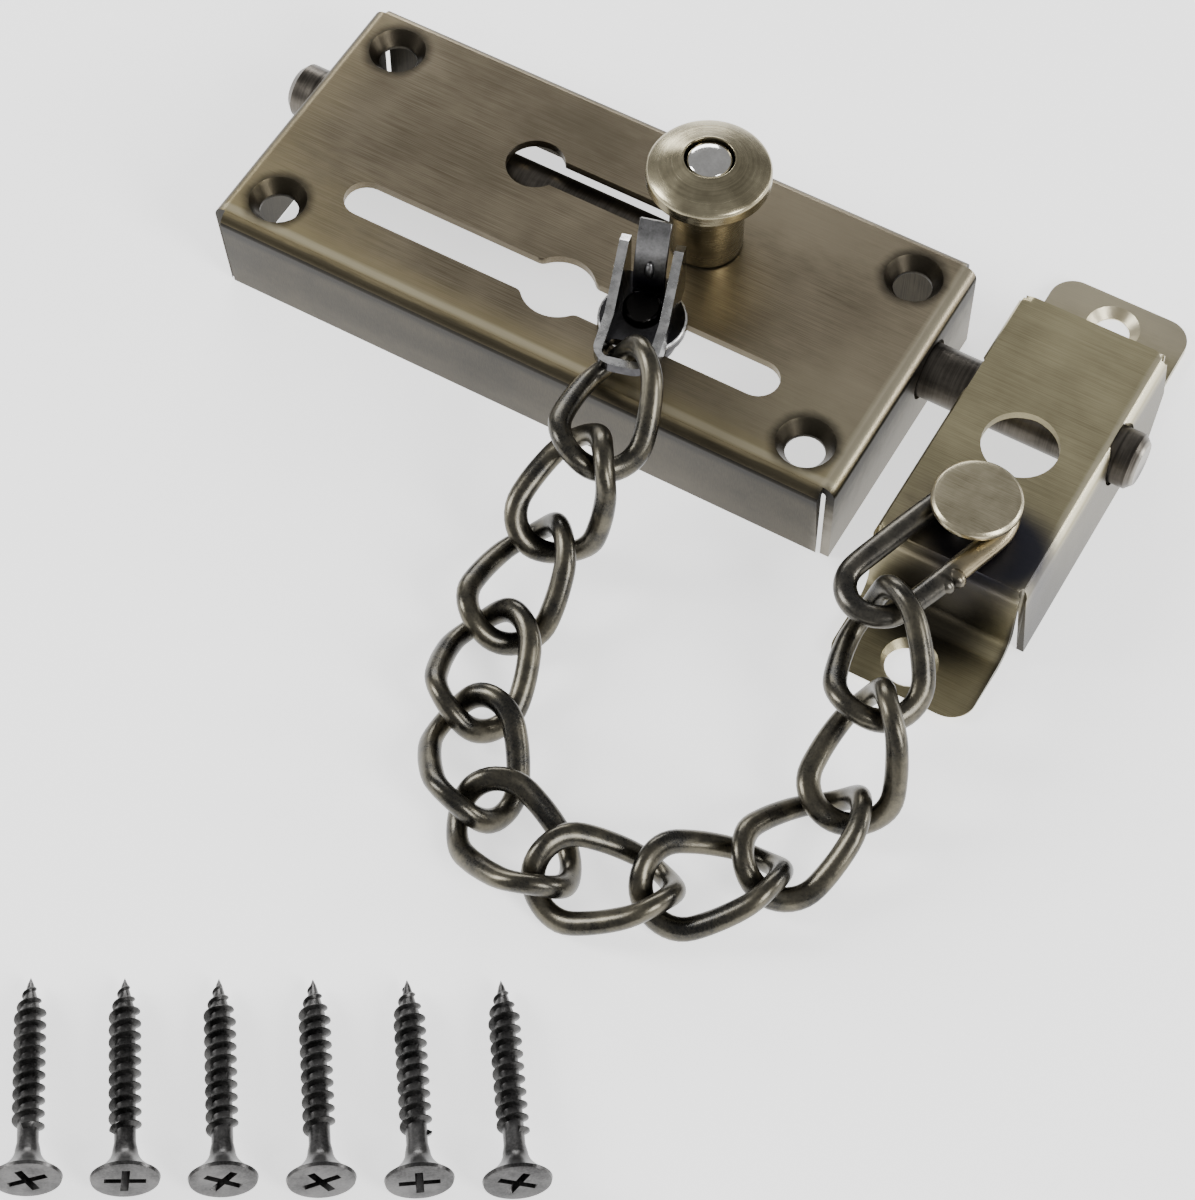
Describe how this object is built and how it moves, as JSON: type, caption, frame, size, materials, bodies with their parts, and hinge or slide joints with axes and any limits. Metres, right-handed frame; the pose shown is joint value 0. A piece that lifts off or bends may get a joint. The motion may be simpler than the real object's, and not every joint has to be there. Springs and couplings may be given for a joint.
{
  "type": "door chain guard",
  "caption": "Door chain guard: pressed case with a sliding bolt and a slotted chain slider, strike plate with a headed stud, twisted-link chain, loose fixing screws.",
  "frame": {"origin": "centre of the case's footprint on the face that lies against the door", "axes": "+X along the case and the bolt towards the strike plate, +Y across it away from the chain, +Z out of the door"},
  "size_m": [0.124, 0.175, 0.0305],
  "materials": {
    "bronze_case": "brushed antique bronze",
    "bronze_keeper": "brushed antique bronze, lighter, with heat tint at the stud",
    "dark_steel": "turned and darkened steel",
    "bronze_knob": "turned antique bronze",
    "silver_button": "polished",
    "spring_steel": "bright wire",
    "black_nickel": "black nickel with bright sheared edges",
    "spring_strip": "satin strip with blued end",
    "gunmetal": "satin gunmetal with worn olive patches",
    "grey_screw": "dark satin"
  },
  "bodies": {
    "root": {"case": "bronze_case", "keeper": "bronze_keeper", "keeper_stud": "bronze_keeper", "screw_1": "grey_screw", "screw_2": "grey_screw", "screw_3": "grey_screw", "screw_4": "grey_screw", "screw_5": "grey_screw", "screw_6": "grey_screw"},
    "bolt": {"bolt_rod": "dark_steel", "bolt_knob": "bronze_knob", "lock_spring": "spring_steel"},
    "lock_button": {"lock_button": "silver_button"},
    "slider": {"slider_stud": "black_nickel"},
    "bracket": {"slider_bracket": "black_nickel"},
    "tongue": {"slider_tongue": "spring_strip"},
    "ring": {"stud_ring": "gunmetal"},
    "link_01": {"chain_link_01": "gunmetal"},
    "link_02": {"chain_link_02": "gunmetal"},
    "link_03": {"chain_link_03": "gunmetal"},
    "link_04": {"chain_link_04": "gunmetal"},
    "link_05": {"chain_link_05": "gunmetal"},
    "link_06": {"chain_link_06": "gunmetal"},
    "link_07": {"chain_link_07": "gunmetal"},
    "link_08": {"chain_link_08": "gunmetal"},
    "link_09": {"chain_link_09": "gunmetal"},
    "link_10": {"chain_link_10": "gunmetal"},
    "link_11": {"chain_link_11": "gunmetal"}
  },
  "joints": [
    {"name": "bolt_slide", "type": "slide", "parent": "root", "child": "bolt", "axis": [1, 0, 0], "range_m": [-0.0252, 0]},
    {"name": "lock_press", "type": "slide", "parent": "bolt", "child": "lock_button", "axis": [0, 0, -1], "range_m": [0, 0.0018], "stiffness_N_per_m": 250, "springref_m": -0.002},
    {"name": "slider_slide", "type": "slide", "parent": "root", "child": "slider", "axis": [1, 0, 0], "range_m": [-0.0405, 0.016]},
    {"name": "bracket_turn", "type": "hinge", "parent": "slider", "child": "bracket", "pos_m": [0.0122, -0.00895, 0.016], "axis": [0, 0, 1], "range_deg": [-5.4, 13.65]},
    {"name": "link_01_turn", "type": "hinge", "parent": "bracket", "child": "link_01", "pos_m": [0.01522, -0.01815, 0.0194], "axis": [0, 0, 1], "range_deg": [-1.34, 3.36]},
    {"name": "link_02_turn", "type": "hinge", "parent": "link_01", "child": "link_02", "pos_m": [0.01736, -0.03026, 0.01645], "axis": [0, 0, 1], "range_deg": [-6.68, 16.89]},
    {"name": "link_03_turn", "type": "hinge", "parent": "link_02", "child": "link_03", "pos_m": [0.01532, -0.03842, 0.007], "axis": [0, 0, 1], "range_deg": [-6.45, 2.56]},
    {"name": "link_04_turn", "type": "hinge", "parent": "link_03", "child": "link_04", "pos_m": [0.01554, -0.05073, 0.0041], "axis": [0, 0, 1], "range_deg": [-12.35, 4.89]},
    {"name": "link_05_turn", "type": "hinge", "parent": "link_04", "child": "link_05", "pos_m": [0.01902, -0.06289, 0.0039], "axis": [0, 0, 1], "range_deg": [-9.81, 3.88]},
    {"name": "ring_turn", "type": "hinge", "parent": "root", "child": "ring", "pos_m": [0.061, -0.0138, 0.01415], "axis": [0, 0, 1], "range_deg": [-15.43, 6.1]},
    {"name": "link_11_turn", "type": "hinge", "parent": "ring", "child": "link_11", "pos_m": [0.05727, -0.03079, 0.0142], "axis": [0, 0, 1], "range_deg": [-19.71, 7.8]},
    {"name": "link_10_turn", "type": "hinge", "parent": "link_11", "child": "link_10", "pos_m": [0.06251, -0.04201, 0.0116], "axis": [0, 0, 1], "range_deg": [-4.72, 11.94]},
    {"name": "link_09_turn", "type": "hinge", "parent": "link_10", "child": "link_09", "pos_m": [0.06398, -0.05251, 0.0047], "axis": [0, 0, 1], "range_deg": [-3.71, 9.38]},
    {"name": "link_08_turn", "type": "hinge", "parent": "link_09", "child": "link_08", "pos_m": [0.05987, -0.06446, 0.0041], "axis": [0, 0, 1], "range_deg": [-1.94, 4.88]},
    {"name": "link_07_turn", "type": "hinge", "parent": "link_08", "child": "link_07", "pos_m": [0.05004, -0.07242, 0.0039], "axis": [0, 0, 1], "range_deg": [-0.73, 1.82]},
    {"name": "link_06_turn", "type": "hinge", "parent": "link_07", "child": "link_06", "pos_m": [0.03831, -0.07716, 0.0039], "axis": [0, 0, 1], "range_deg": [-1.74, 4.39]},
    {"name": "tongue_press", "type": "hinge", "parent": "bracket", "child": "tongue", "pos_m": [0.01137, -0.00586, 0.01765], "axis": [0.9659, 0.2588, 0], "range_deg": [0, 6], "stiffness_Nm_per_rad": 0.05, "springref_deg": -2.86}
  ],
  "couplings": [
    {"joint": "bracket_turn", "follows": "slider_slide", "rad_per_m": -5.8777},
    {"joint": "link_01_turn", "follows": "slider_slide", "rad_per_m": -1.4434},
    {"joint": "link_02_turn", "follows": "slider_slide", "rad_per_m": -7.2701},
    {"joint": "link_03_turn", "follows": "slider_slide", "rad_per_m": 2.7713},
    {"joint": "link_04_turn", "follows": "slider_slide", "rad_per_m": 5.3175},
    {"joint": "link_05_turn", "follows": "slider_slide", "rad_per_m": 4.22},
    {"joint": "ring_turn", "follows": "slider_slide", "rad_per_m": 6.6412},
    {"joint": "link_11_turn", "follows": "slider_slide", "rad_per_m": 8.4881},
    {"joint": "link_10_turn", "follows": "slider_slide", "rad_per_m": -5.1375},
    {"joint": "link_09_turn", "follows": "slider_slide", "rad_per_m": -4.0353},
    {"joint": "link_08_turn", "follows": "slider_slide", "rad_per_m": -2.0972},
    {"joint": "link_07_turn", "follows": "slider_slide", "rad_per_m": -0.77896},
    {"joint": "link_06_turn", "follows": "slider_slide", "rad_per_m": -1.8851}
  ]
}
